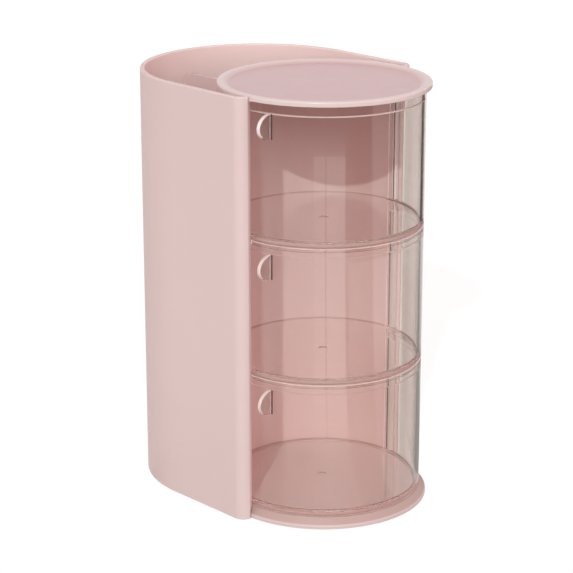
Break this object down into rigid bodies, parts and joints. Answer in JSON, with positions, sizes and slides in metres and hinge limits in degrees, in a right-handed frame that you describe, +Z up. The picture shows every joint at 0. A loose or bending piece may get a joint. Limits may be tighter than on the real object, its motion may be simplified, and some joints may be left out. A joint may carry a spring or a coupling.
{
  "type": "makeup organizer with drawers",
  "caption": "U-shaped desktop makeup organizer with a round tower of stacked clear drawers that turn out sideways by a tab, a shallow tray on top and split pockets behind.",
  "frame": {"origin": "middle of the overall footprint, on the surface the organizer stands on", "axes": "+Z up, front with the drawers at -Y, rear pockets at +Y, pull tabs at -X when closed"},
  "size_m": [0.1468, 0.1981, 0.2657],
  "materials": {
    "housing_plastic": "pale pink, satin moulded",
    "clear_plastic": "clear, polished",
    "pad_rubber": "matt anti-slip rubber"
  },
  "bodies": {
    "housing": {"outer_shell": "housing_plastic", "tower_back_wall": "housing_plastic", "rear_divider": "housing_plastic", "base_plate": "housing_plastic", "foot_pads": "pad_rubber", "top_tray": "housing_plastic"},
    "bottom_drawer": {"drawer_bottom": "clear_plastic"},
    "middle_drawer": {"drawer_middle": "clear_plastic"},
    "top_drawer": {"drawer_top": "clear_plastic"}
  },
  "joints": [
    {"name": "bottom_drawer_turn", "type": "hinge", "parent": "housing", "child": "bottom_drawer", "pos_m": [0, -0.03325, 0.0066], "axis": [0, 0, 1], "range_deg": [-7.5, 160]},
    {"name": "middle_drawer_turn", "type": "hinge", "parent": "housing", "child": "middle_drawer", "pos_m": [0, -0.03325, 0.0918], "axis": [0, 0, 1], "range_deg": [-7.5, 160]},
    {"name": "top_drawer_turn", "type": "hinge", "parent": "housing", "child": "top_drawer", "pos_m": [0, -0.03325, 0.177], "axis": [0, 0, 1], "range_deg": [-7.5, 160]}
  ]
}
